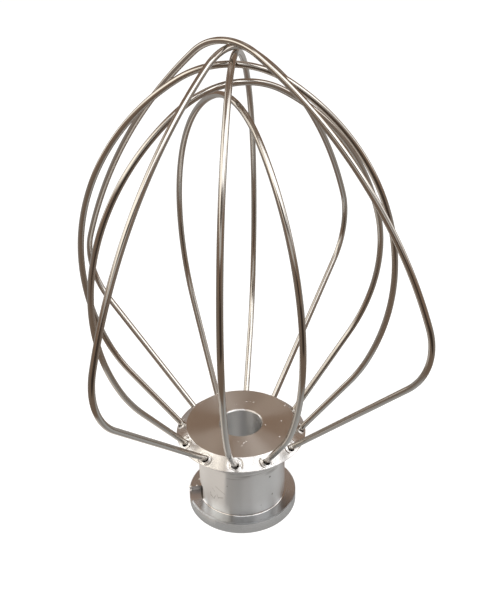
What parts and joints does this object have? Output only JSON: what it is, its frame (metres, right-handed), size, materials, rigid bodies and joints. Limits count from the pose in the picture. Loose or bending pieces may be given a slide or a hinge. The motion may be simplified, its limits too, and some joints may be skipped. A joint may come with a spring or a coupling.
{
  "type": "stand mixer wire whisk",
  "caption": "Balloon whisk for a stand mixer: crossing loops of round wire rise from a turned spool-shaped hub with a drive shaft bore and a bayonet slot for the shaft's pin.",
  "frame": {"origin": "centre of the bore at the hub's base, on which the whisk stands", "axes": "+Z along the bore from the base to the crown of the wires, -Y towards the front of the picture"},
  "size_m": [0.1036, 0.1073, 0.1494],
  "materials": {
    "hub_aluminium": "turned and satin, with fine tool marks",
    "wire_steel": "drawn and polished stainless wire"
  },
  "bodies": {
    "root": {"hub": "hub_aluminium", "round_wire_front_rear": "wire_steel", "shoulder_wire_right_front": "wire_steel", "shoulder_wire_left_front": "wire_steel", "round_wire_low": "wire_steel", "round_wire_middle": "wire_steel", "round_wire_high": "wire_steel"}
  },
  "joints": []
}
